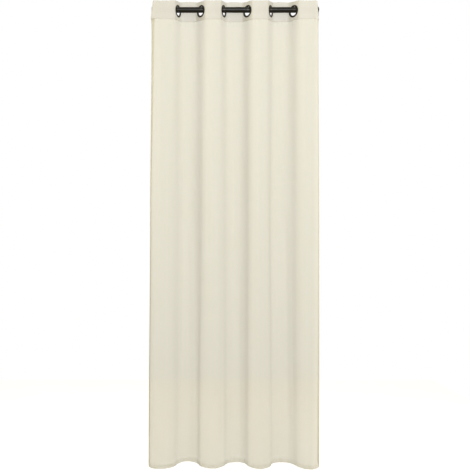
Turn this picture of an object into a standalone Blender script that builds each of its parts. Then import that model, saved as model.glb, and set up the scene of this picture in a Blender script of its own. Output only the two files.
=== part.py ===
"""A sheer voile curtain that hangs by eight eyelets from a plain round rod.

The rod lies along X, its left end face centred on the origin. +Z is up and -Y is the side that faces the
room. The cloth weaves behind and in front of the rod: behind it at both side edges and on every second fold.
All sizes are in metres and all angles in degrees unless a name says otherwise.
"""

import math

import bpy
import bmesh
from mathutils import Matrix, Vector

# Clearance between touching pieces
GAP = 0.0003

# Rod
ROD_LENGTH = 0.767
ROD_DIAMETER = 0.026
ROD_SIDES = 48

# Cloth, as it was cut and sewn
FLAT_WIDTH = 1.10
DROP = 2.132
VOILE_THICKNESS = 0.0012
HEM_THICKNESS = 0.002
HEM_WIDTH = 0.018
HEM_STEP = 0.002
HEADER_HEIGHT = 0.086
HEADER_THICKNESS = 0.002
TOP_OVER_ROD = 0.038

# Eyelets
EYELET_OUTER = 0.028
EYELET_INNER = 0.020
EYELET_SLEEVE = 0.022
EYELET_HALF_THICKNESS = 0.0029
EYELET_ROUNDING = 0.0008
EYELET_STEPS = 28
FLAT_AT_EYELET = 0.0292

# Where the cloth crosses the rod's line, one row an eyelet. "at" is the distance from the rod's left end and
# "turn" the angle between cloth and rod: in the header, half way down, and at the hem. "lean" tilts the
# eyelet's top to +X, and "corner" is how far the top edge sinks at this eyelet.
CROSSING_COLUMNS = ("at", "turn", "lean", "corner", "mid_at", "mid_turn", "hem_at", "hem_turn")
CROSSINGS = (
    (0.008, 105.0, 8.0, 0.003, -0.007, 98.0, -0.014, 97.0),
    (0.121, 58.0, 0.0, 0.000, 0.117, 58.0, 0.112, 66.0),
    (0.227, 58.0, 0.0, 0.000, 0.224, 64.0, 0.218, 84.0),
    (0.331, 58.0, 0.0, 0.000, 0.335, 58.0, 0.337, 66.0),
    (0.441, 58.0, 0.0, 0.000, 0.441, 70.0, 0.439, 82.0),
    (0.547, 58.0, 0.0, 0.000, 0.544, 70.0, 0.549, 77.0),
    (0.653, 57.0, 0.0, 0.000, 0.655, 58.0, 0.659, 70.0),
    (0.763, 76.0, -5.0, 0.003, 0.770, 80.0, 0.769, 82.0),
)

# The folds between the eyelets, one row a fold, the first in front of the rod and then by turns. The first
# two columns are the lengths of the curve's handles beside the left and right eyelet. The others say how far
# the fold's middle hangs below the height at the eyelets, at the top edge, the header's seam and the hem.
FOLD_COLUMNS = ("left_handle", "right_handle", "top_droop", "seam_droop", "hem_droop")
FOLDS = (
    (0.024, 0.016, 0.0065, 0.0025, -0.0020),
    (0.014, 0.014, -0.0085, -0.0025, -0.0045),
    (0.015, 0.014, 0.0055, 0.0030, 0.0060),
    (0.013, 0.014, -0.0070, -0.0020, 0.0020),
    (0.015, 0.015, 0.0060, 0.0025, 0.0045),
    (0.014, 0.013, -0.0070, -0.0025, -0.0010),
    (0.014, 0.021, 0.0060, 0.0025, 0.0020),
)

# Heights of the panel's rows as a share of the way from the seam to the top of the hem, and where the folds
# have the shape that the "mid" columns give
ROW_SHARES = (0.0, 0.03, 0.10, 0.20, 0.32, 0.44, 0.56, 0.68, 0.79, 0.90, 1.0)
MID_SHARE = 0.44

# Mesh density along the cloth
FLAT_STEPS = 2
BEND_STEPS = 8
CURVE_SAMPLES = 48
SOLVE_STEPS = 40

# Colours: base colour, roughness, metallic
VOILE_FINISH = ((0.80, 0.76, 0.62, 1.0), 0.85, 0.0)
HEADER_FINISH = ((0.76, 0.70, 0.53, 1.0), 0.85, 0.0)
DARK_METAL_FINISH = ((0.018, 0.016, 0.013, 1.0), 0.38, 0.7)


def named_rows(columns, table):
    return [dict(zip(columns, row)) for row in table]


RINGS = named_rows(CROSSING_COLUMNS, CROSSINGS)
BENDS = named_rows(FOLD_COLUMNS, FOLDS)


def clear_scene():
    for old in list(bpy.data.objects):
        bpy.data.objects.remove(old, do_unlink=True)


def make_collection(name):
    collection = bpy.data.collections.new(name)
    bpy.context.scene.collection.children.link(collection)
    return collection


def move_to(obj, collection):
    for old in list(obj.users_collection):
        old.objects.unlink(obj)
    collection.objects.link(obj)


def make_material(name, finish):
    colour, roughness, metallic = finish
    material = bpy.data.materials.new(name)
    material.use_nodes = True
    shader = material.node_tree.nodes["Principled BSDF"]
    shader.inputs["Base Color"].default_value = colour
    shader.inputs["Roughness"].default_value = roughness
    shader.inputs["Metallic"].default_value = metallic
    material.diffuse_color = colour
    return material


def add_object(name, mesh, collection, finish):
    obj = bpy.data.objects.new(name, mesh)
    collection.objects.link(obj)
    mesh.materials.append(make_material(name, finish))
    return obj


def toward(index):
    """+1 where the cloth comes forward as it runs to the right through this eyelet, -1 where it goes back."""
    return 1 if index % 2 == 0 else -1


def heading(index, turn):
    """The direction in which the cloth runs through a crossing, seen from above."""
    angle = math.radians(turn)
    return Vector((math.cos(angle), -toward(index) * math.sin(angle)))


def ring_normal(index):
    """The horizontal normal of an eyelet's plane, on its right-hand side."""
    along = heading(index, RINGS[index]["turn"])
    return Vector((-toward(index) * along.y, toward(index) * along.x))


def smooth(t):
    t = min(max(t, 0.0), 1.0)
    return t * t * (3.0 - 2.0 * t)


def ring_axes(index):
    """Three unit axes of an eyelet: along the cloth, across it in its plane, and along its hole."""
    along = heading(index, RINGS[index]["turn"]).to_3d()
    lean = math.radians(RINGS[index]["lean"])
    hole = ring_normal(index).to_3d() * math.cos(lean) - Vector((0.0, 0.0, math.sin(lean)))
    return along, hole.cross(along), hole


def hang_height(index):
    """The height of an eyelet's centre when its inner wall rests on the rod, a clearance away."""
    along, across, hole = ring_axes(index)
    reach = ROD_DIAMETER / 2 + GAP
    inner = EYELET_INNER * math.cos(math.pi / EYELET_STEPS)
    half_wall = EYELET_HALF_THICKNESS - EYELET_ROUNDING
    height = -EYELET_OUTER
    for step in range(4 * EYELET_STEPS):
        angle = math.tau * step / (4 * EYELET_STEPS)
        for side in (-half_wall, half_wall):
            point = inner * (math.cos(angle) * along + math.sin(angle) * across) + side * hole
            if point.z > 0.0 and abs(point.y) < reach:
                height = max(height, math.sqrt(reach ** 2 - point.y ** 2) - point.z)
    return height


def curve_points(start, start_handle, end_handle, end):
    """Points of a cubic curve from start to end, whose handles are the two middle points."""
    points = []
    for step in range(CURVE_SAMPLES + 1):
        t = step / CURVE_SAMPLES
        s = 1.0 - t
        early = s ** 3 * start + 3 * s * s * t * start_handle
        late = 3 * s * t * t * end_handle + t ** 3 * end
        points.append(early + late)
    return points


def path_length(points):
    return sum((b - a).length for a, b in zip(points, points[1:]))


def point_at(points, distance):
    """The point that lies this far along a chain of points."""
    for a, b in zip(points, points[1:]):
        step = (b - a).length
        if distance <= step:
            return a.lerp(b, distance / step)
        distance -= step
    return points[-1]


def header_fold(fold):
    """A fold of the header from one eyelet's centre to the next: flat, bent round, flat again."""
    row = BENDS[fold]
    start = Vector((RINGS[fold]["at"], 0.0))
    end = Vector((RINGS[fold + 1]["at"], 0.0))
    start_way = heading(fold, RINGS[fold]["turn"])
    end_way = heading(fold + 1, RINGS[fold + 1]["turn"])
    bend_start = start + FLAT_AT_EYELET * start_way
    bend_end = end - FLAT_AT_EYELET * end_way
    start_handle = bend_start + row["left_handle"] * start_way
    end_handle = bend_end - row["right_handle"] * end_way
    return [start] + curve_points(bend_start, start_handle, end_handle, bend_end) + [end]


def loose_fold(fold, level, length):
    """A fold lower down, with the same length of cloth in it: the handles are lengthened until it fits."""
    start = Vector((RINGS[fold][level + "at"], 0.0))
    end = Vector((RINGS[fold + 1][level + "at"], 0.0))
    start_way = heading(fold, RINGS[fold][level + "turn"])
    end_way = heading(fold + 1, RINGS[fold + 1][level + "turn"])
    short, long = 0.0, 2.0 * length
    for _ in range(SOLVE_STEPS):
        handle = (short + long) / 2
        points = curve_points(start, start + handle * start_way, end - handle * end_way, end)
        if path_length(points) < length:
            short = handle
        else:
            long = handle
    return points


HEADER_FOLDS = [header_fold(fold) for fold in range(len(FOLDS))]
FOLD_LENGTHS = [path_length(points) for points in HEADER_FOLDS]
TAIL = (FLAT_WIDTH - sum(FOLD_LENGTHS)) / 2
MID_FOLDS = [loose_fold(fold, "mid_", FOLD_LENGTHS[fold]) for fold in range(len(FOLDS))]
HEM_FOLDS = [loose_fold(fold, "hem_", FOLD_LENGTHS[fold]) for fold in range(len(FOLDS))]


def cloth_columns():
    """The mesh's columns across the cloth: the number of a fold and the distance from its left eyelet.

    Fold -1 is the tail at the left side edge, measured from that edge. The highest number is the other tail.
    """
    tail_steps = (0.0, HEM_WIDTH, HEM_WIDTH + HEM_STEP, TAIL - FLAT_AT_EYELET / 2, TAIL)
    columns = [(-1, distance) for distance in tail_steps[:-1]]
    for fold, length in enumerate(FOLD_LENGTHS):
        flat = [FLAT_AT_EYELET * step / FLAT_STEPS for step in range(FLAT_STEPS)]
        bend = length - 2 * FLAT_AT_EYELET
        columns += [(fold, distance) for distance in flat]
        columns += [(fold, FLAT_AT_EYELET + bend * step / BEND_STEPS) for step in range(BEND_STEPS + 1)]
        columns += [(fold, length - distance) for distance in reversed(flat[1:])]
    columns += [(len(FOLDS), TAIL - distance) for distance in reversed(tail_steps)]
    return columns


COLUMNS = cloth_columns()


def plan_point(column, level, folds):
    """Where a column of the cloth lies, seen from above, at one of the three levels."""
    fold, distance = column
    if fold < 0:
        first = RINGS[0]
        return Vector((first[level + "at"], 0.0)) - (TAIL - distance) * heading(0, first[level + "turn"])
    if fold == len(FOLDS):
        last = RINGS[-1]
        return Vector((last[level + "at"], 0.0)) + distance * heading(len(RINGS) - 1, last[level + "turn"])
    return point_at(folds[fold], distance)


def droop(column, which):
    """How far a column hangs below the height at the eyelets: most at a fold's middle."""
    fold, distance = column
    if fold < 0 or fold == len(FOLDS):
        return 0.0
    return BENDS[fold][which] * math.sin(math.pi * distance / FOLD_LENGTHS[fold]) ** 2


def corner_drop(column):
    """How far the top edge sinks towards the side edges."""
    fold, distance = column
    if fold < 0:
        return RINGS[0]["corner"]
    if fold == len(FOLDS):
        return RINGS[-1]["corner"]
    share = smooth(distance / FOLD_LENGTHS[fold])
    return RINGS[fold]["corner"] * (1.0 - share) + RINGS[fold + 1]["corner"] * share


def hold(distance, half):
    """1 where the cloth lies flat at an eyelet, fading to nothing at the fold's middle."""
    return 1.0 - smooth((distance - FLAT_AT_EYELET) / (half - FLAT_AT_EYELET))


def lean_shift(column, height):
    """The sideways shift that the leaning eyelets beside a column give it at this height."""
    fold, distance = column
    if fold < 0:
        holds = {0: 1.0}
    elif fold == len(FOLDS):
        holds = {fold: 1.0}
    else:
        half = FOLD_LENGTHS[fold] / 2
        holds = {fold: hold(distance, half), fold + 1: hold(2 * half - distance, half)}
    shift = Vector((0.0, 0.0))
    for index, share in holds.items():
        rise = height - hang_height(index)
        shift += share * math.tan(math.radians(RINGS[index]["lean"])) * rise * ring_normal(index)
    return shift


def header_point(column, share):
    """A point of the header, whose share of the way down is 0 at its top edge and 1 at its seam."""
    top = TOP_OVER_ROD - droop(column, "top_droop") - corner_drop(column)
    seam = TOP_OVER_ROD - HEADER_HEIGHT - droop(column, "seam_droop")
    height = top + (seam - top) * share
    plan = plan_point(column, "", HEADER_FOLDS) + lean_shift(column, height)
    return plan.to_3d() + Vector((0.0, 0.0, height))


def panel_point(column, row):
    """A point of the panel, from its seam with the header down to the hem's edge."""
    seam = header_point(column, 1.0)
    middle = plan_point(column, "mid_", MID_FOLDS)
    hem = plan_point(column, "hem_", HEM_FOLDS)
    bottom = TOP_OVER_ROD - DROP - droop(column, "hem_droop")
    hem_top = bottom + HEM_WIDTH + HEM_STEP
    if row < len(ROW_SHARES):
        share = ROW_SHARES[row]
        height = seam.z - GAP + (hem_top - seam.z + GAP) * share
    else:
        share = 1.0
        height = (bottom + HEM_WIDTH, bottom)[row - len(ROW_SHARES)]
    if share < MID_SHARE:
        plan = seam.to_2d().lerp(middle, smooth(share / MID_SHARE))
    else:
        plan = middle.lerp(hem, smooth((share - MID_SHARE) / (1.0 - MID_SHARE)))
    return plan.to_3d() + Vector((0.0, 0.0, height))


def cloth_sheet(name, rows, place, collection, finish):
    """A sheet of cloth as a grid whose points place(column, row) puts on the folds."""
    mesh = bpy.data.meshes.new(name)
    bm = bmesh.new()
    bmesh.ops.create_grid(bm, x_segments=len(COLUMNS) - 1, y_segments=rows - 1, size=1.0)
    for vert in bm.verts:
        column = round((vert.co.x + 1.0) / 2.0 * (len(COLUMNS) - 1))
        row = round((1.0 - vert.co.y) / 2.0 * (rows - 1))
        vert.co = place(COLUMNS[column], row)
    bmesh.ops.recalc_face_normals(bm, faces=bm.faces)
    bm.to_mesh(mesh)
    bm.free()
    mesh.shade_smooth()
    return add_object(name, mesh, collection, finish)


def add_thickness(sheet, thickness):
    solidify = sheet.modifiers.new("thickness", "SOLIDIFY")
    solidify.thickness = thickness
    solidify.offset = 0.0
    return solidify


def make_rod(collection):
    bpy.ops.mesh.primitive_cylinder_add(
        vertices=ROD_SIDES, radius=ROD_DIAMETER / 2, depth=ROD_LENGTH,
        location=(ROD_LENGTH / 2, 0.0, 0.0), rotation=(0.0, math.pi / 2, 0.0),
    )
    rod = bpy.context.object
    rod.name = "rod"
    move_to(rod, collection)
    rod.data.materials.append(make_material("rod", DARK_METAL_FINISH))
    rod.data.shade_smooth()
    rod.data.set_sharp_from_angle(angle=math.radians(40.0))
    return rod


def ring_matrix(index):
    along, across, hole = ring_axes(index)
    turn = Matrix((along, across, hole)).transposed().to_4x4()
    return Matrix.Translation((RINGS[index]["at"], 0.0, hang_height(index))) @ turn


def eyelet_profile():
    """The section of an eyelet beside its axis: two rounded flanges with a sleeve between them."""
    half = EYELET_HALF_THICKNESS
    groove = HEADER_THICKNESS / 2 + GAP
    soft = EYELET_ROUNDING
    upper = [
        (EYELET_INNER + soft, half),
        (EYELET_OUTER - soft, half),
        (EYELET_OUTER, half - soft),
        (EYELET_OUTER, groove),
        (EYELET_SLEEVE, groove),
    ]
    lower = [(radius, -height) for radius, height in reversed(upper)]
    inner = [(EYELET_INNER, -half + soft), (EYELET_INNER, half - soft)]
    return upper + lower + inner


def eyelet_mesh():
    mesh = bpy.data.meshes.new("eyelet")
    bm = bmesh.new()
    loop = [bm.verts.new((radius, 0.0, height)) for radius, height in eyelet_profile()]
    for start, end in zip(loop, loop[1:] + loop[:1]):
        bm.edges.new((start, end))
    bm.to_mesh(mesh)
    bm.free()
    return mesh


def make_eyelet(index, collection):
    eyelet = add_object(f"eyelet_{index + 1}", eyelet_mesh(), collection, DARK_METAL_FINISH)
    eyelet.matrix_world = ring_matrix(index)
    screw = eyelet.modifiers.new("turned", "SCREW")
    screw.steps = EYELET_STEPS
    screw.render_steps = EYELET_STEPS
    screw.use_merge_vertices = True
    screw.merge_threshold = 0.00001
    screw.use_smooth_shade = True
    return eyelet


def make_hole_cutter(index, collection):
    """A cylinder through the header at an eyelet, wide enough to clear its sleeve."""
    radius = (EYELET_SLEEVE + GAP) / math.cos(math.pi / EYELET_STEPS)
    bpy.ops.mesh.primitive_cylinder_add(vertices=EYELET_STEPS, radius=radius, depth=EYELET_SLEEVE)
    cutter = bpy.context.object
    cutter.name = f"eyelet_hole_{index + 1}"
    cutter.matrix_world = ring_matrix(index)
    cutter.hide_render = True
    cutter.display_type = "WIRE"
    move_to(cutter, collection)
    return cutter


def make_header(collection, cutters):
    header = cloth_sheet("header", 2, header_point, collection, HEADER_FINISH)
    add_thickness(header, HEADER_THICKNESS)
    for index in range(len(RINGS)):
        cut = header.modifiers.new(f"hole_{index + 1}", "BOOLEAN")
        cut.operation = "DIFFERENCE"
        cut.object = make_hole_cutter(index, cutters)
    return header


def in_side_hem(column):
    fold, distance = column
    from_edge = distance if fold < 0 else TAIL - distance
    return fold in (-1, len(FOLDS)) and from_edge < HEM_WIDTH + HEM_STEP / 2


def make_panel(collection):
    rows = len(ROW_SHARES) + 2
    panel = cloth_sheet("panel", rows, panel_point, collection, VOILE_FINISH)
    solidify = add_thickness(panel, HEM_THICKNESS)
    hem = panel.vertex_groups.new(name="hem")
    hem_columns = [place for place, column in enumerate(COLUMNS) if in_side_hem(column)]
    count = len(COLUMNS)
    for vert in panel.data.vertices:
        row = rows - 1 - vert.index // count
        if row >= rows - 2 or vert.index % count in hem_columns:
            hem.add([vert.index], 1.0, "REPLACE")
    solidify.vertex_group = "hem"
    solidify.thickness_vertex_group = VOILE_THICKNESS / HEM_THICKNESS
    return panel


def main():
    clear_scene()
    curtain = make_collection("sheer_voile_curtain")
    cutters = make_collection("cutters")
    make_rod(curtain)
    for index in range(len(RINGS)):
        make_eyelet(index, curtain)
    make_header(curtain, cutters)
    make_panel(curtain)
    print("flat width", round(FLAT_WIDTH, 4), "side tails", round(TAIL, 4))
    print("folds", [round(length, 4) for length in FOLD_LENGTHS])


main()
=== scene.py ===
# %% [markdown]
# # A sheer voile curtain on its rod
#
# This script dresses a curtain whose solids are already packed: a plain round rod, eight snap-on eyelets, a
# doubled header and one width of voile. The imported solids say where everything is. Here each of them gets the
# form and finish that the eye expects: cloth as thin as cloth, hems that are really folded over, turned metal
# rings and rows of stitches. Loading the frame comes first, and its box is kept, because nothing made here
# may change the size of the curtain.

import math

import bmesh
import bpy
import numpy as np
from mathutils import Matrix, Vector


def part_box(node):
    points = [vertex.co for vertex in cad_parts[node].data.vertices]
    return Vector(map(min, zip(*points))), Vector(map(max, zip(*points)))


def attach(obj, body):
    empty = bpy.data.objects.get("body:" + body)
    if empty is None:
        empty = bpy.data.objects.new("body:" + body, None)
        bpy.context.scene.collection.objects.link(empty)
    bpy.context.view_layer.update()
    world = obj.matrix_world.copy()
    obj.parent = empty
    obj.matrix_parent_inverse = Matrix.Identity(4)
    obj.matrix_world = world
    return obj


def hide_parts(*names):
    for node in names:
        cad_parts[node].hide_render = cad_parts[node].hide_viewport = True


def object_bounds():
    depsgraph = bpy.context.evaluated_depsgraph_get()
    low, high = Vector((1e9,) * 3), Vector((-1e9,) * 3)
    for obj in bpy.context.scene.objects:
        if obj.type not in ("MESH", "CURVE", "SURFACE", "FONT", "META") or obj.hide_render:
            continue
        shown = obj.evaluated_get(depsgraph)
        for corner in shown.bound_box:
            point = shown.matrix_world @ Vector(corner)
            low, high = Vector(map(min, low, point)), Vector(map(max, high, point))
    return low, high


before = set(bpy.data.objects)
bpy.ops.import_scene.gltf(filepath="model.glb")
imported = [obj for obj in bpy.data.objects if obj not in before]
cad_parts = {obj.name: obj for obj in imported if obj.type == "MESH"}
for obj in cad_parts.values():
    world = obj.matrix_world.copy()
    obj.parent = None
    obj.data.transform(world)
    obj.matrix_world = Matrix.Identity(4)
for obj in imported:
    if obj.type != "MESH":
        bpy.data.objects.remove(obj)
cad_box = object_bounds()
ROD_NODE_LOW, ROD_NODE_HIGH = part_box("rod")
print("nodes:", sorted(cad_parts))
print("box of the solids, in metres:", [[round(c, 4) for c in corner] for corner in cad_box])

# %% [markdown]
# ## Camera
#
# The curtain is seen square on, with upright lines that stay parallel, as a shop shows it. Such a picture
# comes from a level camera whose lens is shifted: the camera looks straight along +Y and the shift slides the
# picture until the curtain stands in the frame. The camera's place was found from the widths at which the
# eyelets show on the left and right of each fold.

# %% Place the camera
PICTURE_SIDE = 470
PIXEL_AT_ROD = 0.0046
AXIS_COLUMN = 128
AXIS_ROW = 207
ROD_START_COLUMN = 151.7
ROD_ROW = 9.96
EYE_DISTANCE_PIXELS = 657
EYE_DISTANCE = EYE_DISTANCE_PIXELS * PIXEL_AT_ROD
SENSOR_WIDTH = 36.0

camera_data = bpy.data.cameras.new("camera")
camera_data.sensor_width = SENSOR_WIDTH
camera_data.lens = SENSOR_WIDTH * EYE_DISTANCE / (PICTURE_SIDE * PIXEL_AT_ROD)
camera_data.shift_x = (PICTURE_SIDE / 2 - AXIS_COLUMN) / PICTURE_SIDE
camera_data.shift_y = (AXIS_ROW - PICTURE_SIDE / 2) / PICTURE_SIDE
camera = bpy.data.objects.new("camera", camera_data)
camera.location = (
    (AXIS_COLUMN - ROD_START_COLUMN) * PIXEL_AT_ROD,
    -EYE_DISTANCE,
    (ROD_ROW - AXIS_ROW) * PIXEL_AT_ROD,
)
camera.rotation_euler = (math.radians(90.0), 0.0, 0.0)
bpy.context.scene.collection.objects.link(camera)
bpy.context.scene.camera = camera
print("lens", round(camera_data.lens, 2), "mm, eye at", [round(c, 3) for c in camera.location])

# %% [markdown]
# ## Studio
#
# Voile is judged by the light that comes through it, so the curtain hangs before plain white. The white world
# stands for a lit backdrop. For every ray but the camera's it is dimmer and a little warm, so that it fills
# the folds without washing them out. A tall, narrow lamp stands beside the camera on the right: cloth that
# turns to it is bright, cloth that turns away is darker, and the light falls off towards the hem. Two weaker
# lamps at the sides keep the edges from drawing too dark a line, one overhead draws a highlight along the rod,
# and a narrow one behind shows the folds from the back. The pale floor lies behind the curtain and glows, so
# that it doesn't end in a line behind sheer cloth.

# %% Make the floor, the world and the lamps
WHITE = (1.0, 1.0, 1.0, 1.0)
FLOOR_CLEARANCE = 0.05
FLOOR_HEIGHT = cad_box[0].z - FLOOR_CLEARANCE
FLOOR_WIDTH = 3.4
FLOOR_DEPTH = 1.85
FLOOR_FRONT = -0.15
FLOOR_GLOW = 0.81
FLOOR_COLOUR = (0.42, 0.41, 0.39, 1.0)
FLOOR_ROUGHNESS = 0.9
FILL_STRENGTH = 0.37
FILL_COLOUR = (1.0, 0.90, 0.54, 1.0)
CURTAIN_MIDDLE = Vector((0.38, 0.0, -0.75))
# A lamp's row holds its name, place, width and height, spread in degrees, watts and colour.
LAMPS = (
    ("key", (0.90, -3.0, 0.12), (0.7, 2.0), 180.0, 59.0, (0.94, 0.97, 1.03)),
    ("left", (-1.7, -0.3, -0.1), (0.5, 2.0), 180.0, 14.0, (1.0, 0.97, 0.92)),
    ("right", (2.5, 0.1, -0.8), (0.4, 2.4), 180.0, 16.0, (1.0, 0.97, 0.92)),
    ("back", (-0.6, 2.7, -0.4), (0.7, 1.6), 76.0, 14.0, (1.0, 0.99, 0.98)),
    ("overhead", (0.4, -0.5, 2.4), (1.6, 1.6), 180.0, 12.0, (1.0, 1.0, 1.0)),
)


def aim_lamp(name, place, sides, spread, watts, colour):
    """A soft lamp of this width, height and spread in degrees that points at the middle of the curtain."""
    lamp_data = bpy.data.lights.new(name, "AREA")
    lamp_data.shape = "RECTANGLE"
    lamp_data.size, lamp_data.size_y = sides
    lamp_data.spread = math.radians(spread)
    lamp_data.energy = watts
    lamp_data.color = colour
    lamp = bpy.data.objects.new(name, lamp_data)
    lamp.location = place
    lamp.rotation_euler = (CURTAIN_MIDDLE - Vector(place)).to_track_quat("-Z", "Y").to_euler()
    bpy.context.scene.collection.objects.link(lamp)


def make_world():
    """Plain white for the camera, a dimmer and warmer white for all other rays."""
    world = bpy.data.worlds.new("backdrop")
    bpy.context.scene.world = world
    world.use_nodes = True
    tree = world.node_tree
    fill = tree.nodes["Background"]
    fill.inputs["Color"].default_value = FILL_COLOUR
    fill.inputs["Strength"].default_value = FILL_STRENGTH
    seen = tree.nodes.new("ShaderNodeBackground")
    seen.inputs["Color"].default_value = WHITE
    path = tree.nodes.new("ShaderNodeLightPath")
    mix = tree.nodes.new("ShaderNodeMixShader")
    tree.links.new(path.outputs["Is Camera Ray"], mix.inputs[0])
    tree.links.new(fill.outputs[0], mix.inputs[1])
    tree.links.new(seen.outputs[0], mix.inputs[2])
    tree.links.new(mix.outputs[0], tree.nodes["World Output"].inputs["Surface"])


def make_floor():
    """A pale floor under and behind the curtain that glows for the camera alone."""
    mesh = bpy.data.meshes.new("floor")
    bm = bmesh.new()
    bmesh.ops.create_grid(bm, x_segments=1, y_segments=1, size=0.5)
    bmesh.ops.scale(bm, verts=bm.verts, vec=(FLOOR_WIDTH, FLOOR_DEPTH, 1.0))
    middle = (CURTAIN_MIDDLE.x, FLOOR_FRONT + FLOOR_DEPTH / 2, FLOOR_HEIGHT)
    bmesh.ops.translate(bm, verts=bm.verts, vec=middle)
    bm.to_mesh(mesh)
    bm.free()
    floor = bpy.data.objects.new("floor", mesh)
    bpy.context.scene.collection.objects.link(floor)
    paint = bpy.data.materials.new("floor paint")
    paint.use_nodes = True
    tree = paint.node_tree
    shader = tree.nodes["Principled BSDF"]
    shader.inputs["Base Color"].default_value = FLOOR_COLOUR
    shader.inputs["Roughness"].default_value = FLOOR_ROUGHNESS
    shader.inputs["Emission Color"].default_value = WHITE
    glow = tree.nodes.new("ShaderNodeMath")
    glow.operation = "MULTIPLY"
    glow.inputs[1].default_value = FLOOR_GLOW
    path = tree.nodes.new("ShaderNodeLightPath")
    tree.links.new(path.outputs["Is Camera Ray"], glow.inputs[0])
    tree.links.new(glow.outputs[0], shader.inputs["Emission Strength"])
    mesh.materials.append(paint)


make_world()
make_floor()
for lamp_row in LAMPS:
    aim_lamp(*lamp_row)
scene = bpy.context.scene
scene.view_settings.view_transform = "Standard"
scene.cycles.use_denoising = True
scene.cycles.transparent_max_bounces = 32
scene.cycles.diffuse_bounces = 1
print("floor at", round(FLOOR_HEIGHT, 3), "m, lamps:", [lamp_row[0] for lamp_row in LAMPS])

# %% [markdown]
# ## The run of the cloth
#
# A curtain on eyelets goes behind the rod and in front of it by turns, and each fold holds the same length of
# cloth from the header to the hem. So the shape is found from above: a line that starts at the left edge,
# crosses the rod's line at each eyelet at a known angle, and bends round in between. The tables repeat the
# sizes from which the solids were made. Each row of the first is an eyelet, each row of the second a fold.

# %% Sizes of the rod, the eyelets and the cloth
GAP = 0.0003
ROD_RADIUS = (ROD_NODE_HIGH.z - ROD_NODE_LOW.z) / 2
ROD_LENGTH = ROD_NODE_HIGH.x - ROD_NODE_LOW.x
EYELET_OUTER = 0.028
EYELET_INNER = 0.020
EYELET_SLEEVE = 0.022
EYELET_HALF = 0.0029
EYELET_WALL_HALF = 0.0021
FLAT_AT_EYELET = 0.0292
FLAT_WIDTH = 1.10
DROP = 2.132
HEADER_HEIGHT = 0.086
TOP_OVER_ROD = 0.038
HEM_WIDTH = 0.018
MID_SHARE = 0.44

CROSSING_COLUMNS = ("at", "turn", "lean", "corner", "mid_at", "mid_turn", "hem_at", "hem_turn")
CROSSINGS = (
    (0.008, 105.0, 8.0, 0.003, -0.007, 98.0, -0.014, 97.0),
    (0.121, 58.0, 0.0, 0.000, 0.117, 58.0, 0.112, 66.0),
    (0.227, 58.0, 0.0, 0.000, 0.224, 64.0, 0.218, 84.0),
    (0.331, 58.0, 0.0, 0.000, 0.335, 58.0, 0.337, 66.0),
    (0.441, 58.0, 0.0, 0.000, 0.441, 70.0, 0.439, 82.0),
    (0.547, 58.0, 0.0, 0.000, 0.544, 70.0, 0.549, 77.0),
    (0.653, 57.0, 0.0, 0.000, 0.655, 58.0, 0.659, 70.0),
    (0.763, 76.0, -5.0, 0.003, 0.770, 80.0, 0.769, 82.0),
)
FOLD_COLUMNS = ("left_handle", "right_handle", "top_droop", "seam_droop", "hem_droop")
FOLDS = (
    (0.024, 0.016, 0.0065, 0.0025, -0.0020),
    (0.014, 0.014, -0.0085, -0.0025, -0.0045),
    (0.015, 0.014, 0.0055, 0.0030, 0.0060),
    (0.013, 0.014, -0.0070, -0.0020, 0.0020),
    (0.015, 0.015, 0.0060, 0.0025, 0.0045),
    (0.014, 0.013, -0.0070, -0.0025, -0.0010),
    (0.014, 0.021, 0.0060, 0.0025, 0.0020),
)
RINGS = [dict(zip(CROSSING_COLUMNS, row)) for row in CROSSINGS]
BENDS = [dict(zip(FOLD_COLUMNS, row)) for row in FOLDS]
print(len(RINGS), "eyelets and", len(BENDS), "folds; rod", round(ROD_LENGTH, 3), "m long")

# %% Lines across the rod at one level
RUN_STEPS = 96
SOLVE_STEPS = 40


def toward(index):
    """+1 where the cloth comes forward as it runs to the right through this eyelet, -1 where it goes back."""
    return 1 if index % 2 == 0 else -1


def heading(index, turn):
    """The direction in which the cloth runs through a crossing, seen from above."""
    angle = math.radians(turn)
    return Vector((math.cos(angle), -toward(index) * math.sin(angle)))


def bent_line(start, start_handle, end_handle, end):
    """Points along a cubic curve whose two handles are the middle points."""
    points = []
    for step in range(RUN_STEPS + 1):
        t = step / RUN_STEPS
        s = 1.0 - t
        early = s ** 3 * start + 3 * s * s * t * start_handle
        points.append(early + 3 * s * t * t * end_handle + t ** 3 * end)
    return points


def line_length(points):
    return sum((b - a).length for a, b in zip(points, points[1:]))


def header_fold(fold):
    """The header lies flat beside each eyelet and bends round between two of them."""
    start = Vector((RINGS[fold]["at"], 0.0))
    end = Vector((RINGS[fold + 1]["at"], 0.0))
    start_way = heading(fold, RINGS[fold]["turn"])
    end_way = heading(fold + 1, RINGS[fold + 1]["turn"])
    bend_start = start + FLAT_AT_EYELET * start_way
    bend_end = end - FLAT_AT_EYELET * end_way
    start_handle = bend_start + BENDS[fold]["left_handle"] * start_way
    end_handle = bend_end - BENDS[fold]["right_handle"] * end_way
    return [start] + bent_line(bend_start, start_handle, end_handle, bend_end) + [end]


def loose_fold(fold, level, length):
    """A fold below the header: its handles grow until it holds the same length of cloth."""
    start = Vector((RINGS[fold][level + "at"], 0.0))
    end = Vector((RINGS[fold + 1][level + "at"], 0.0))
    start_way = heading(fold, RINGS[fold][level + "turn"])
    end_way = heading(fold + 1, RINGS[fold + 1][level + "turn"])
    short, long = 0.0, 2.0 * length
    for _ in range(SOLVE_STEPS):
        handle = (short + long) / 2
        points = bent_line(start, start + handle * start_way, end - handle * end_way, end)
        if line_length(points) < length:
            short = handle
        else:
            long = handle
    return points


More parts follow.
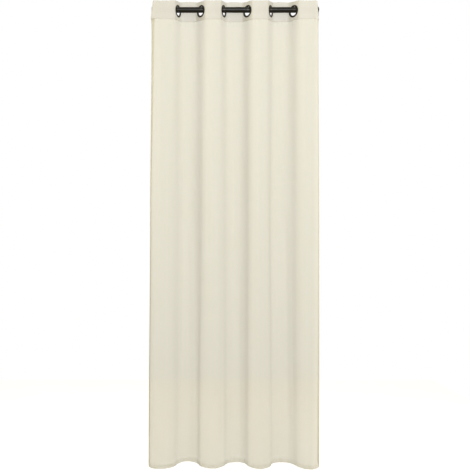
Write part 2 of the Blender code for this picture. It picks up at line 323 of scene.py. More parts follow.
HEADER_FOLDS = [header_fold(fold) for fold in range(len(FOLDS))]
FOLD_LENGTHS = [line_length(points) for points in HEADER_FOLDS]
TAIL = (FLAT_WIDTH - sum(FOLD_LENGTHS)) / 2
EYELET_ACROSS = [TAIL + sum(FOLD_LENGTHS[:index]) for index in range(len(RINGS))]
print("cloth in each fold:", [round(length, 4) for length in FOLD_LENGTHS], "side tails:", round(TAIL, 4))

# %% [markdown]
# Each level becomes one long run: for any distance across the flat cloth it gives the place seen from above
# and the direction of the cloth's back. With these runs the whole cloth can be cut flat, sewn flat and only
# then hung, which is the order in which a real curtain is made.

# %% Runs at the header, half way down and at the hem


def make_run(level, folds):
    """Distance across the flat cloth, place from above, and way to the cloth's back, along one level."""
    first = Vector((RINGS[0][level + "at"], 0.0))
    last = Vector((RINGS[-1][level + "at"], 0.0))
    points = [first - TAIL * heading(0, RINGS[0][level + "turn"])]
    for fold in folds:
        points += fold[:-1]
    points += [last, last + TAIL * heading(len(RINGS) - 1, RINGS[-1][level + "turn"])]
    places = np.array([point[:] for point in points])
    across = np.concatenate(([0.0], np.cumsum(np.linalg.norm(np.diff(places, axis=0), axis=1))))
    even = np.linspace(0.0, across[-1], 8 * RUN_STEPS)
    xs, ys = np.interp(even, across, places[:, 0]), np.interp(even, across, places[:, 1])
    way_x, way_y = np.gradient(xs), np.gradient(ys)
    length = np.hypot(way_x, way_y)
    return {"across": even, "x": xs, "y": ys, "back_x": -way_y / length, "back_y": way_x / length}


def soften_run(run, reach):
    """The same run with its bends eased over this much cloth, as loose voile hangs just below the header."""
    pitch = run["across"][1] - run["across"][0]
    spread = np.arange(-round(3 * reach / pitch), round(3 * reach / pitch) + 1) * pitch
    weights = np.exp(-0.5 * (spread / reach) ** 2)
    weights /= weights.sum()
    ease = len(spread) // 2
    soft = dict(run)
    for key in ("x", "y"):
        before = 2 * run[key][0] - run[key][ease:0:-1]
        after = 2 * run[key][-1] - run[key][-2:-ease - 2:-1]
        soft[key] = np.convolve(np.concatenate((before, run[key], after)), weights, "valid")
    way_x, way_y = np.gradient(soft["x"]), np.gradient(soft["y"])
    length = np.hypot(way_x, way_y)
    soft["back_x"], soft["back_y"] = -way_y / length, way_x / length
    return soft


SOFTENING = 0.015
RUNS = {
    "header": make_run("", HEADER_FOLDS),
    "below": soften_run(make_run("", HEADER_FOLDS), SOFTENING),
    "middle": make_run("mid_", [loose_fold(n, "mid_", FOLD_LENGTHS[n]) for n in range(len(FOLDS))]),
    "hem": make_run("hem_", [loose_fold(n, "hem_", FOLD_LENGTHS[n]) for n in range(len(FOLDS))]),
}


def on_run(name, across, *wanted):
    """The wanted columns of a run at these distances across the flat cloth."""
    return [np.interp(across, RUNS[name]["across"], RUNS[name][key]) for key in wanted]


print({name: round(float(run["across"][-1]), 4) for name, run in RUNS.items()}, "m of cloth at each level")

# %% [markdown]
# ## Hanging the flat cloth
#
# `hang` takes points of the flat cloth, given as the distances across from the left edge and down from the
# top edge, and puts them where they hang. A third distance says how far a point lies behind the cloth's own
# surface, which is how hems and the header get their second layer. Between the eyelets the top edge, the seam
# and the hem sag or rise a little, and near the two outer eyelets the header leans.

# %% Heights and leans of the hung cloth
HEM_STEP = 0.002
GRIP_END = 0.064
EASING = 0.07


def smooth(t):
    t = np.clip(t, 0.0, 1.0)
    return t * t * (3.0 - 2.0 * t)


def eyelet_centre(index):
    low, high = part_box(f"eyelet_{index + 1}")
    return (low + high) / 2


def ring_axes(index):
    """Three unit axes of an eyelet: along the cloth, across it in its plane, and along its hole."""
    along = heading(index, RINGS[index]["turn"])
    normal = Vector((-toward(index) * along.y, toward(index) * along.x, 0.0))
    lean = math.radians(RINGS[index]["lean"])
    hole = normal * math.cos(lean) - Vector((0.0, 0.0, math.sin(lean)))
    return along.to_3d(), hole.cross(along.to_3d()), hole


def droop(across, which):
    """How far the cloth hangs below its height at the eyelets: most at a fold's middle."""
    total = np.zeros_like(across)
    for fold, length in enumerate(FOLD_LENGTHS):
        share = (across - EYELET_ACROSS[fold]) / length
        inside = (share > 0.0) & (share < 1.0)
        total += inside * BENDS[fold][which] * np.sin(math.pi * share) ** 2
    return total


def near_eyelet(across, index, flat, reach):
    """1 beside an eyelet, fading to nothing at this share of the folds on its two sides."""
    away = across - EYELET_ACROSS[index]
    before = FOLD_LENGTHS[index - 1] * reach if index > 0 else math.inf
    after = FOLD_LENGTHS[index] * reach if index < len(FOLDS) else math.inf
    fade = np.where(away < 0.0, before, after)
    return 1.0 - smooth((np.abs(away) - flat) / (fade - flat))


def edge_heights(across):
    """Heights of the top edge, the header's seam and the hem."""
    corner = sum(near_eyelet(across, index, 0.0, 1.0) * RINGS[index]["corner"] for index in (0, len(FOLDS)))
    top = TOP_OVER_ROD - corner - droop(across, "top_droop")
    seam = TOP_OVER_ROD - HEADER_HEIGHT - droop(across, "seam_droop")
    return top, seam, TOP_OVER_ROD - DROP - droop(across, "hem_droop")


def lean_shift(across, height):
    """The sideways shift that the leaning eyelets give the header at this height."""
    shift = np.zeros((2, len(across)))
    for index in (0, len(FOLDS)):
        normal = ring_axes(index)[2]
        rise = height - eyelet_centre(index).z
        slope = math.tan(math.radians(RINGS[index]["lean"]))
        push = near_eyelet(across, index, FLAT_AT_EYELET, 0.5) * slope * rise
        way = Vector((normal.x, normal.y)).normalized()
        shift += np.outer(way, push)
    return shift


print("eyelet centres:", [[round(c, 4) for c in eyelet_centre(index)] for index in range(len(RINGS))])

# %% [markdown]
# ## Creases
#
# Voile keeps soft creases from its packing and from the way it was pulled along the rod. They are listed one by
# one. Each row is one crease: where it starts and ends across the cloth, the heights between which it runs,
# its half width, and its depth, which is positive for a trough seen from the room and negative for a ridge.
# Rows of stitches draw the thin cloth together, so small puckers fade out from the seam and from the hem.

# %% Creases and puckers
CREASE_COLUMNS = ("across", "foot_across", "top", "foot", "half_width", "depth")
CREASES = (
    (0.105, 0.098, 0.10, 1.30, 0.010, 0.0018),
    (0.140, 0.150, 0.60, 2.12, 0.013, -0.0022),
    (0.262, 0.255, 0.12, 1.70, 0.009, 0.0020),
    (0.300, 0.312, 0.95, 2.13, 0.012, -0.0020),
    (0.402, 0.398, 0.10, 1.10, 0.010, 0.0018),
    (0.438, 0.446, 0.70, 2.13, 0.014, -0.0024),
    (0.548, 0.556, 0.12, 1.50, 0.010, 0.0020),
    (0.575, 0.580, 1.10, 2.13, 0.012, 0.0018),
    (0.690, 0.684, 0.14, 1.90, 0.009, -0.0018),
    (0.722, 0.730, 0.80, 2.13, 0.013, 0.0020),
    (0.835, 0.826, 0.10, 1.40, 0.010, -0.0018),
    (0.862, 0.868, 0.90, 2.13, 0.012, 0.0022),
    (0.985, 0.975, 0.12, 2.00, 0.012, 0.0016),
    (1.030, 1.040, 0.50, 2.13, 0.010, -0.0016),
)
CREASE_FADE = 0.22
PUCKER_DEPTH = 0.0006
PUCKER_PITCH = 0.0137
PUCKER_REACH = 0.016
SECOND_WAVE_PITCH = PUCKER_PITCH * 1.63
SECOND_WAVE_SHARE = 0.6
HEM_PUCKER_SHARE = 0.8
STITCH_INSET = 0.003
HEM_LINE = DROP - HEM_WIDTH + STITCH_INSET
SEAM_LINE = HEADER_HEIGHT - STITCH_INSET


def crease_depth(across, down):
    """How far the creases push the cloth back at these points of the flat cloth."""
    total = np.zeros_like(across)
    for row in CREASES:
        crease = dict(zip(CREASE_COLUMNS, row))
        along = (down - crease["top"]) / (crease["foot"] - crease["top"])
        middle = crease["across"] + (crease["foot_across"] - crease["across"]) * smooth(along)
        fade_in = smooth((down - crease["top"]) / CREASE_FADE)
        ends = fade_in * smooth((crease["foot"] - down) / CREASE_FADE + 0.5)
        total += crease["depth"] * ends * np.exp(-(((across - middle) / crease["half_width"]) ** 2))
    return total


def pucker_depth(across, down):
    """Small waves beside the rows of stitches."""
    second_wave = np.sin(math.tau * across / SECOND_WAVE_PITCH + 1.0)
    wave = np.sin(math.tau * across / PUCKER_PITCH) + SECOND_WAVE_SHARE * second_wave
    below_seam = np.exp(-np.abs(down - SEAM_LINE) / PUCKER_REACH) * (down > SEAM_LINE)
    above_hem = np.exp(-np.abs(down - HEM_LINE) / PUCKER_REACH)
    return PUCKER_DEPTH * wave * (below_seam + HEM_PUCKER_SHARE * above_hem)


def hang(across, down, behind):
    """Where points of the flat cloth hang, as an array with a row for each point."""
    top, seam, bottom = edge_heights(across)
    below = np.maximum((down - HEADER_HEIGHT) / (DROP - HEADER_HEIGHT), 0.0)
    height = top + (seam - top) * np.minimum(down / HEADER_HEIGHT, 1.0) + (bottom - seam) * below
    share = (down - HEADER_HEIGHT) / (DROP - HEM_WIDTH - HEM_STEP - HEADER_HEIGHT)
    plan = np.array(on_run("header", across, "x", "y", "back_x", "back_y"))
    plan[:2] += lean_shift(across, np.maximum(height, seam))
    below_header = np.array(on_run("below", across, "x", "y", "back_x", "back_y"))
    below_header[:2] += lean_shift(across, seam)
    plan += (below_header - plan) * smooth((down - GRIP_END) / EASING)
    middle = np.array(on_run("middle", across, "x", "y", "back_x", "back_y"))
    hem = np.array(on_run("hem", across, "x", "y", "back_x", "back_y"))
    plan += (middle - plan) * smooth(share / MID_SHARE)
    plan += (hem - plan) * smooth((share - MID_SHARE) / (1.0 - MID_SHARE))
    back = plan[2:] / np.hypot(plan[2], plan[3])
    places = plan[:2] + back * behind
    return np.column_stack((places[0], places[1], height))


def rest_depth(across, down):
    """How far creases and puckers together push the cloth back."""
    return crease_depth(across, down) + pucker_depth(across, down)


print(len(CREASES), "creases, deepest", max(abs(row[-1]) for row in CREASES) * 1000, "mm")

# %% [markdown]
# ## The panel
#
# The panel is one sheet, cut wider and longer than it ends up, with its margins turned to the back and sewn
# down. It starts as a flat grid in the size of the cut. A copy of the flat place goes into the UV map, in
# metres, so that the weave follows the threads however the cloth hangs. Then the margins are turned over a
# small round edge, and everything is hung. The top edge reaches up between the two layers of the header.

# %% Turn a margin over
SIDE_TURN = 0.00025
HEM_TURN = 0.0006
HEADER_TURN = 0.001
TURN_STEPS = 4


def turn_over(beyond, radius):
    """Where cloth that reaches this far beyond a folded edge ends up, how far behind, and how far round."""
    arc = math.pi * radius
    turned = np.clip(beyond / arc, 0.0, 1.0)
    outwards = radius * np.sin(math.pi * turned)
    inwards = np.maximum(beyond - arc, 0.0)
    place = np.where(beyond < 0.0, beyond, outwards - inwards)
    return place, radius * (1.0 - np.cos(math.pi * turned)), turned


def turn_marks(radius):
    """Distances beyond a folded edge at which the grid needs a line to go round it."""
    return [math.pi * radius * step / TURN_STEPS for step in range(1, TURN_STEPS + 1)]


def even_marks(start, end, pitch):
    """Evenly spaced marks from start up to but without end."""
    count = max(1, round((end - start) / pitch))
    return [start + (end - start) * step / count for step in range(count)]


def flat_grid(columns, rows):
    """A flat grid with its lines at these distances across and down the cut cloth."""
    bm = bmesh.new()
    bmesh.ops.create_grid(bm, x_segments=len(columns) - 1, y_segments=len(rows) - 1, size=0.5)
    for vert in bm.verts:
        column = round((vert.co.x + 0.5) * (len(columns) - 1))
        row = round((vert.co.y + 0.5) * (len(rows) - 1))
        vert.co = (columns[column], rows[row], 0.0)
    return bm


def mark_turned(bm, turned):
    """Stores how far each vertex is turned to the back: 0 on the face of the cloth and 1 in its margins."""
    layer = bm.verts.layers.float.new("turned")
    for vert, share in zip(bm.verts, turned):
        vert[layer] = share


def cut_places(bm):
    """The flat places of a cut sheet's vertices, also written to its UV map in metres."""
    flat = bm.loops.layers.uv.new("flat cloth")
    for face in bm.faces:
        for loop in face.loops:
            loop[flat].uv = loop.vert.co.xy
    return np.array([vert.co.xy for vert in bm.verts])


def move_to(bm, places):
    """Moves a sheet's vertices to where they hang."""
    for vert, place in zip(bm.verts, places):
        vert.co = place


def finish_piece(name, bm):
    """Turns a bmesh into a smooth piece of the scene."""
    mesh = bpy.data.meshes.new(name)
    bm.to_mesh(mesh)
    bm.free()
    mesh.shade_smooth()
    piece = bpy.data.objects.new(name, mesh)
    bpy.context.scene.collection.objects.link(piece)
    print(name, "has", len(mesh.vertices), "vertices and", len(mesh.polygons), "faces")
    return piece


# %% Cut, turn and hang the panel
COLUMN_PITCH = 0.0032
ROW_PITCH = 0.015
FINE_PITCH = 0.003
TOP_TUCK = 0.006
PUCKER_ZONE = 0.03


def panel_columns():
    inner = even_marks(0.0, FLAT_WIDTH, COLUMN_PITCH)[1:]
    edge = [0.0] + turn_marks(SIDE_TURN)
    margin = edge + even_marks(edge[-1], HEM_WIDTH, COLUMN_PITCH)[1:] + [HEM_WIDTH]
    return [-mark for mark in reversed(margin)] + inner + [FLAT_WIDTH + mark for mark in margin]


def panel_rows():
    start = HEADER_HEIGHT - TOP_TUCK
    low = HEM_LINE - PUCKER_ZONE
    rows = even_marks(start, start + PUCKER_ZONE, FINE_PITCH)
    rows += even_marks(start + PUCKER_ZONE, low, ROW_PITCH) + even_marks(low, DROP, FINE_PITCH)
    edge = turn_marks(HEM_TURN)
    margin = even_marks(edge[-1], HEM_WIDTH, FINE_PITCH)[1:] + [HEM_WIDTH]
    return rows + [DROP] + [DROP + mark for mark in edge + margin]


def make_panel():
    bm = flat_grid(panel_columns(), panel_rows())
    cut = cut_places(bm)
    left, left_behind, left_folded = turn_over(-cut[:, 0], SIDE_TURN)
    right, right_behind, right_folded = turn_over(cut[:, 0] - FLAT_WIDTH, SIDE_TURN)
    foot, foot_behind, folded = turn_over(cut[:, 1] - DROP, HEM_TURN)
    mark_turned(bm, np.maximum(folded, np.maximum(left_folded, right_folded)))
    across = np.where(cut[:, 0] < FLAT_WIDTH / 2, -left, FLAT_WIDTH + right)
    down = DROP + foot
    behind = foot_behind + (left_behind + right_behind) * (1.0 - 2.0 * folded)
    bmesh.ops.reverse_faces(bm, faces=bm.faces)
    move_to(bm, hang(across, down, behind + rest_depth(across, down)))
    return finish_piece("voile_panel", bm)


panel = make_panel()

# %% [markdown]
# ## The header
#
# The header is a doubled strip: up the front, over the top edge and down the back, with the eyelets pressed
# through both layers. The eight holes are cut while the strip is flat, twice each, because the strip is
# folded afterwards. A hole is made by taking the faces out of the grid and drawing its ragged rim to a true
# circle, which the eyelet's flange then hides. At the two ends the layers meet and are merged.

# %% Cut, fold and hang the header
HEADER_PITCH = 0.0032
HOLE_RADIUS = 0.0235
END_CLOSING = 0.0016
MERGE_DISTANCE = 1e-6


def header_rows():
    """Lines up the front, round the top edge and down the back of the strip."""
    front = even_marks(0.0, HEADER_HEIGHT, HEADER_PITCH)
    edge = [HEADER_HEIGHT] + [HEADER_HEIGHT + mark for mark in turn_marks(HEADER_TURN)]
    back = even_marks(edge[-1], edge[-1] + HEADER_HEIGHT, HEADER_PITCH)[1:]
    return front + edge + back + [edge[-1] + HEADER_HEIGHT]


def eyelet_down(index):
    """How far an eyelet's centre lies below the top edge, on the flat cloth."""
    across = np.array([EYELET_ACROSS[index]])
    top, seam, _ = (float(edge[0]) for edge in edge_heights(across))
    return (top - eyelet_centre(index).z) / (top - seam) * HEADER_HEIGHT


def cut_hole(bm, centre):
    """Takes out the faces round a centre and draws the rim to a circle."""
    gone = [face for face in bm.faces if (face.calc_center_median().xy - centre).length < HOLE_RADIUS]
    rim = {vert for face in gone for vert in face.verts}
    bmesh.ops.delete(bm, geom=gone, context="FACES")
    for vert in rim:
        if vert.is_valid:
            away = (vert.co.xy - centre).normalized() * HOLE_RADIUS
            vert.co.xy = centre + away


def make_header():
    columns = [0.0, END_CLOSING / 2] + even_marks(END_CLOSING, FLAT_WIDTH - END_CLOSING, HEADER_PITCH)
    columns += [FLAT_WIDTH - END_CLOSING, FLAT_WIDTH - END_CLOSING / 2, FLAT_WIDTH]
    bm = flat_grid(columns, header_rows())
    over_top = math.pi * HEADER_TURN
    for index, across in enumerate(EYELET_ACROSS):
        down = eyelet_down(index)
        cut_hole(bm, Vector((across, HEADER_HEIGHT - down)))
        cut_hole(bm, Vector((across, HEADER_HEIGHT + over_top + down)))
    cut = cut_places(bm)
    up, round_top, folded = turn_over(cut[:, 1] - HEADER_HEIGHT, HEADER_TURN)
    mark_turned(bm, folded)
    across = cut[:, 0]
    closing = np.sqrt(np.clip(np.minimum(across, FLAT_WIDTH - across) / END_CLOSING, 0.0, 1.0))
    behind = (round_top - HEADER_TURN) * closing
    move_to(bm, hang(across, -up, behind))
    bmesh.ops.remove_doubles(bm, verts=bm.verts, dist=MERGE_DISTANCE)
    return finish_piece("doubled_header", bm)


header = make_header()

# %% [markdown]
# ## Rod and eyelets
#
# Both are turned shapes: a section that goes once round an axis. The rod's section has its ends rounded, and
# the eyelet's section is a sleeve between two domed flanges that grip the cloth. The rod is spun in many
# short lengths, so that a value on its vertices can say where the eyelets rub it. The eyelets carry the same
# kind of value on the crown of the flange and on the inner wall, where the finish wears first. Light from the
# back glows through real voile and drowns the rod's shadow on the header, so the rod is set to throw none.

# %% Turn the rod and the eyelets
TURN_FACETS = 72
ROD_EDGE = 0.0012
ROD_STEP = 0.006
RUB_WIDTH = 0.007


def turned_piece(profile, closed, turn):
    """A section of (radius, height, wear) points spun round its axis and then put in place."""
    bm = bmesh.new()
    rub = bm.verts.layers.float.new("rub")
    line = []
    for radius, height, wear in profile:
        vert = bm.verts.new((radius, 0.0, height))
        vert[rub] = wear
        line.append(vert)
    edges = [bm.edges.new(pair) for pair in zip(line, line[1:] + line[:1] * closed)]
    bmesh.ops.spin(
        bm, geom=line + edges, cent=(0.0, 0.0, 0.0), axis=(0.0, 0.0, 1.0), dvec=(0.0, 0.0, 0.0),
        angle=math.tau, steps=TURN_FACETS, use_merge=True,
    )
    bmesh.ops.remove_doubles(bm, verts=bm.verts, dist=MERGE_DISTANCE)
    bmesh.ops.recalc_face_normals(bm, faces=bm.faces)
    bmesh.ops.transform(bm, matrix=turn, verts=bm.verts)
    return bm


def rounded_corner(radius, height, size, start, steps=4):
    """Points of a quarter circle round this centre, from an angle in degrees, anticlockwise."""
    angles = [math.radians(start + 90.0 * step / steps) for step in range(steps + 1)]
    return [(radius + size * math.cos(angle), height + size * math.sin(angle)) for angle in angles]


def rod_profile():
    """Half of the rod's section, with wear where each eyelet rubs it."""
    inner = ROD_RADIUS - ROD_EDGE
    start = [(0.0, 0.0)] + rounded_corner(inner, ROD_EDGE, ROD_EDGE, -90.0)
    end = rounded_corner(inner, ROD_LENGTH - ROD_EDGE, ROD_EDGE, 0.0) + [(0.0, ROD_LENGTH)]
    shaft = [(ROD_RADIUS, mark) for mark in even_marks(ROD_EDGE, ROD_LENGTH - ROD_EDGE, ROD_STEP)[1:]]
    points = start + shaft + end
    eyelets = [eyelet_centre(index).x - ROD_NODE_LOW.x for index in range(len(RINGS))]
    return [(r, h, max(math.exp(-(((h - x) / RUB_WIDTH) ** 2)) for x in eyelets)) for r, h in points]


def eyelet_profile():
    """Half of the section, from the middle of the inner wall out to the sleeve, and its mirror."""
    groove = HEADER_TURN + GAP
    half = [
        (EYELET_INNER, 0.0, 0.6),
        (EYELET_INNER, EYELET_WALL_HALF, 0.8),
        (EYELET_INNER + 0.0003, EYELET_HALF - 0.0003, 1.0),
        (EYELET_INNER + 0.0010, EYELET_HALF, 1.0),
        (EYELET_INNER + 0.0030, EYELET_HALF, 0.5),
        (EYELET_INNER + 0.0052, EYELET_HALF - 0.0002, 0.2),
        (EYELET_INNER + 0.0068, EYELET_HALF - 0.0006, 0.3),
        (EYELET_OUTER - 0.0003, groove + 0.0006, 0.6),
        (EYELET_OUTER, groove + 0.0003, 0.4),
        (EYELET_OUTER - 0.0002, groove, 0.1),
        (EYELET_SLEEVE, groove, 0.0),
    ]
    return half + [(radius, -height, wear) for radius, height, wear in reversed(half[1:])]


def make_rod():
    lie_along_x = Matrix.Translation((ROD_NODE_LOW.x, 0.0, 0.0)) @ Matrix.Rotation(math.radians(90.0), 4, "Y")
    return finish_piece("turned_rod", turned_piece(rod_profile(), False, lie_along_x))


def make_eyelet(index):
    turn = Matrix(ring_axes(index)).transposed().to_4x4()
    bm = turned_piece(eyelet_profile(), True, Matrix.Translation(eyelet_centre(index)) @ turn)
    return finish_piece(f"domed_eyelet_{index + 1}", bm)


rod = make_rod()
rod.visible_shadow = False
eyelets = [make_eyelet(index) for index in range(len(RINGS))]

# %% [markdown]
# ## Stitches
#
# A lockstitch shows on both faces of the cloth as a row of short raised dashes. One dash is a small ball
# stretched along the seam. A loop lays them on the flat cloth, hangs both ends and turns the dash between
# them, so the rows follow the folds. They are joined to one piece for the header and one for the hems.

# %% Sew the header and the hems
STITCH_PITCH = 0.0036
STITCH_LENGTH = 0.0027
STITCH_THICKNESS = 0.0004
ROW_INSET = 0.004
UNDER_HEADER = 0.002


def sew_row(bm, starts, ends, behind):
    """Lays stitches between pairs of places on the flat cloth."""
    places = []
    for marks in (starts, ends):
        across, down = np.array(marks, dtype=float).T
        places.append(hang(across, down, behind + rest_depth(across, down)))
    for start, end in zip(*places):
        start, end = Vector(start), Vector(end)
        way = end - start
        size = Matrix.Diagonal((way.length / 2, STITCH_THICKNESS / 2, STITCH_THICKNESS / 2, 1.0))
        turn = way.to_track_quat("X", "Z").to_matrix().to_4x4()
        matrix = Matrix.Translation((start + end) / 2) @ turn @ size
        bmesh.ops.create_icosphere(bm, subdivisions=1, radius=1.0, matrix=matrix)


def sew_across(bm, down, front, back):
    """A row across the cloth, raised this far in front of it and behind it."""
    marks = even_marks(ROW_INSET, FLAT_WIDTH - ROW_INSET, STITCH_PITCH)
    for behind in (-front, back):
        starts = [(mark, down) for mark in marks]
        sew_row(bm, starts, [(mark + STITCH_LENGTH, down) for mark in marks], behind)


def sew_down(bm, across, front, back):
    """A row from the header down to the hem."""
    marks = even_marks(HEADER_HEIGHT + UNDER_HEADER, DROP - ROW_INSET, STITCH_PITCH)
    for behind in (-front, back):
        starts = [(across, mark) for mark in marks]
        sew_row(bm, starts, [(across, mark + STITCH_LENGTH) for mark in marks], behind)


def make_header_stitches():
    bm = bmesh.new()
    sew_across(bm, SEAM_LINE, HEADER_TURN, HEADER_TURN)
    return finish_piece("header_stitches", bm)


def make_hem_stitches():
    bm = bmesh.new()
    sew_across(bm, HEM_LINE, 0.0, 2 * HEM_TURN)
    side_line = HEM_WIDTH - STITCH_INSET
    sew_down(bm, side_line, 0.0, 2 * SIDE_TURN)
    sew_down(bm, FLAT_WIDTH - side_line, 0.0, 2 * SIDE_TURN)
    return finish_piece("hem_stitches", bm)


header_stitches = make_header_stitches()
hem_stitches = make_hem_stitches()

# %% [markdown]
# ## Voile, as a shader
#
# Voile is a plain weave of thin, hard-twisted threads set wide apart, and it is sheer because light goes
# between them. So the threads decide both how much of the cloth is there and how bumpy it is. The weave is a
# node group, because the panel and the header share it with other numbers. It reads the flat place in metres,
# adds threads in two directions, lets them wander a little and thickens some of them into slubs. Its mottle
# is the slight unevenness that thin cloth shows from a step away.

# %% Helpers for node trees


def step(tree, kind, inputs=(), **settings):
    """Adds a node with these settings, fills or links its inputs by name or number, and returns it."""
    made = tree.nodes.new(kind)
    for name, setting in settings.items():
        setattr(made, name, setting)
    for key, value in dict(inputs).items():
        if isinstance(value, bpy.types.NodeSocket):
            tree.links.new(value, made.inputs[key])
        else:
            made.inputs[key].default_value = value
    return made


def work_out(tree, operation, *values):
    """A Math node's result."""
    return step(tree, "ShaderNodeMath", dict(enumerate(values)), operation=operation).outputs[0]


def new_group(name, inputs, outputs):
    """An empty shader group with float or vector sockets, and its two end nodes."""
    group = bpy.data.node_groups.new(name, "ShaderNodeTree")
    for socket, kind in inputs:
        group.interface.new_socket(name=socket, in_out="INPUT", socket_type=kind)
    for socket in outputs:
        group.interface.new_socket(name=socket, in_out="OUTPUT", socket_type="NodeSocketFloat")
    return group, group.nodes.new("NodeGroupInput"), group.nodes.new("NodeGroupOutput")


def new_material(name, settings):
    """A material whose shader has these plain values on its own sockets."""
    material = bpy.data.materials.new(name)
    material.use_nodes = True
    shader = material.node_tree.nodes["Principled BSDF"]
    for socket, value in settings.items():
        shader.inputs[socket].default_value = value
    return material, material.node_tree, shader


# %% The weave
THREAD_WANDER = 0.6
WANDER_SCALE = 45.0
MOTTLE_SCALE = 7.0
SLUB_LENGTH = 14.0
SLUB_FINENESS = 1100.0
MEAN_WEAVE = 0.75
SLUB_RELIEF = 4.0
TONE_SPREAD = 4.0


def threads(tree, place, wander, pitch):
    """0 between two threads and 1 on the middle of one."""
    turns = work_out(tree, "DIVIDE", work_out(tree, "MULTIPLY_ADD", wander, pitch, place), pitch)
    wave = work_out(tree, "SINE", work_out(tree, "MULTIPLY", turns, math.pi))
    return work_out(tree, "MULTIPLY", wave, wave)


def slubs(tree, along, beside, offset):
    """1 on the few stretches of thread that are thicker than the rest."""
    long = work_out(tree, "MULTIPLY", along, SLUB_LENGTH)
    fine = work_out(tree, "MULTIPLY", beside, SLUB_FINENESS)
    place = step(tree, "ShaderNodeCombineXYZ", {0: long, 1: fine, 2: offset}).outputs[0]
    noise = step(tree, "ShaderNodeTexNoise", {"Vector": place, "Scale": 1.0, "Detail": 1.0})
    limits = {"Value": noise.outputs["Fac"], "From Min": 0.60, "From Max": 0.74}
    return step(tree, "ShaderNodeMapRange", limits, interpolation_type="SMOOTHSTEP").outputs[0]


def make_weave():
    """The weave group: how much cloth there is at a place, how raised it is, and its tone."""
    number = "NodeSocketFloat"
    inputs = [("Place", "NodeSocketVector"), ("Pitch", number), ("Cover", number), ("Contrast", number)]
    inputs += [("Slub", number), ("Mottle", number)]
    tree, given, result = new_group("voile weave", inputs, ("Density", "Height", "Tone"))
    flat = step(tree, "ShaderNodeSeparateXYZ", {0: given.outputs["Place"]})
    noise = {"Vector": given.outputs["Place"], "Scale": WANDER_SCALE, "Detail": 2.0}
    noise_colour = step(tree, "ShaderNodeTexNoise", noise).outputs["Color"]
    wander = step(tree, "ShaderNodeSeparateColor", {0: noise_colour})
    warp_wander = work_out(tree, "MULTIPLY", wander.outputs[0], THREAD_WANDER)
    weft_wander = work_out(tree, "MULTIPLY", wander.outputs[1], THREAD_WANDER)
    warp = threads(tree, flat.outputs[0], warp_wander, given.outputs["Pitch"])
    weft = threads(tree, flat.outputs[1], weft_wander, given.outputs["Pitch"])
    crossed = work_out(tree, "MULTIPLY", warp, weft)
    both = work_out(tree, "SUBTRACT", work_out(tree, "ADD", warp, weft), crossed)
    weft_slubs = slubs(tree, flat.outputs[0], flat.outputs[1], 0.0)
    warp_slubs = slubs(tree, flat.outputs[1], flat.outputs[0], 9.0)
    either_slub = work_out(tree, "MAXIMUM", weft_slubs, warp_slubs)
    slub = work_out(tree, "MULTIPLY", either_slub, given.outputs["Slub"])
    cloudy = {"Vector": given.outputs["Place"], "Scale": MOTTLE_SCALE, "Detail": 3.0}
    cloud = work_out(tree, "SUBTRACT", step(tree, "ShaderNodeTexNoise", cloudy).outputs["Fac"], 0.5)
    mottle = work_out(tree, "MULTIPLY", cloud, given.outputs["Mottle"])
    from_mean = work_out(tree, "SUBTRACT", both, MEAN_WEAVE)
    open_weave = work_out(tree, "MULTIPLY", from_mean, given.outputs["Contrast"])
    density = work_out(tree, "ADD", work_out(tree, "ADD", open_weave, given.outputs["Cover"]), mottle)
    density = step(tree, "ShaderNodeClamp", {0: work_out(tree, "ADD", density, slub)}).outputs[0]
    height = work_out(tree, "MULTIPLY_ADD", slub, SLUB_RELIEF, both)
    mixed = work_out(tree, "MULTIPLY_ADD", mottle, TONE_SPREAD, 0.5)
    tone = step(tree, "ShaderNodeClamp", {0: mixed}).outputs[0]
    for socket, value in (("Density", density), ("Height", height), ("Tone", tone)):
        tree.links.new(value, result.inputs[socket])
    return tree


WEAVE = make_weave()
print("weave group:", len(WEAVE.nodes), "nodes")

# %% [markdown]
# The panel's voile is one open layer. The header is made of a closer cloth, set up stiff, so little shows
# through it. Both are the same warm ivory, and both have a faint sheen, because the threads are smooth
# filament yarn. Real voile glows when light comes through it, so a hem's second layer hardly darkens it. Here
# the cloth doesn't glow, and the turned margins are given a lower cover instead. The stitches use a closer
# thread of the same colour, and no weave.

# %% Voile, header cloth and thread
VOILE_LIGHT = (0.81, 0.77, 0.63, 1.0)
VOILE_DEEP = (0.77, 0.725, 0.57, 1.0)
HEADER_LIGHT = (0.895, 0.87, 0.825, 1.0)
HEADER_DEEP = (0.855, 0.825, 0.765, 1.0)
THREAD_LIGHT = (0.80, 0.75, 0.60, 1.0)
THREAD_DEEP = (0.70, 0.64, 0.48, 1.0)
CLOTH_SHADER = {"Roughness": 0.82, "Specular IOR Level": 0.25, "Sheen Weight": 0.08, "Sheen Roughness": 0.5}


def mixed_colour(tree, factor, first, second):
    """The first colour where the factor is 0 and the second where it is 1."""
    mix = tree.nodes.new("ShaderNodeMix")
    mix.data_type = "RGBA"
    sockets = {socket.identifier: socket for socket in mix.inputs}
    sockets["A_Color"].default_value = first
    sockets["B_Color"].default_value = second
    tree.links.new(factor, sockets["Factor_Float"])
    return next(socket for socket in mix.outputs if socket.identifier == "Result_Color")


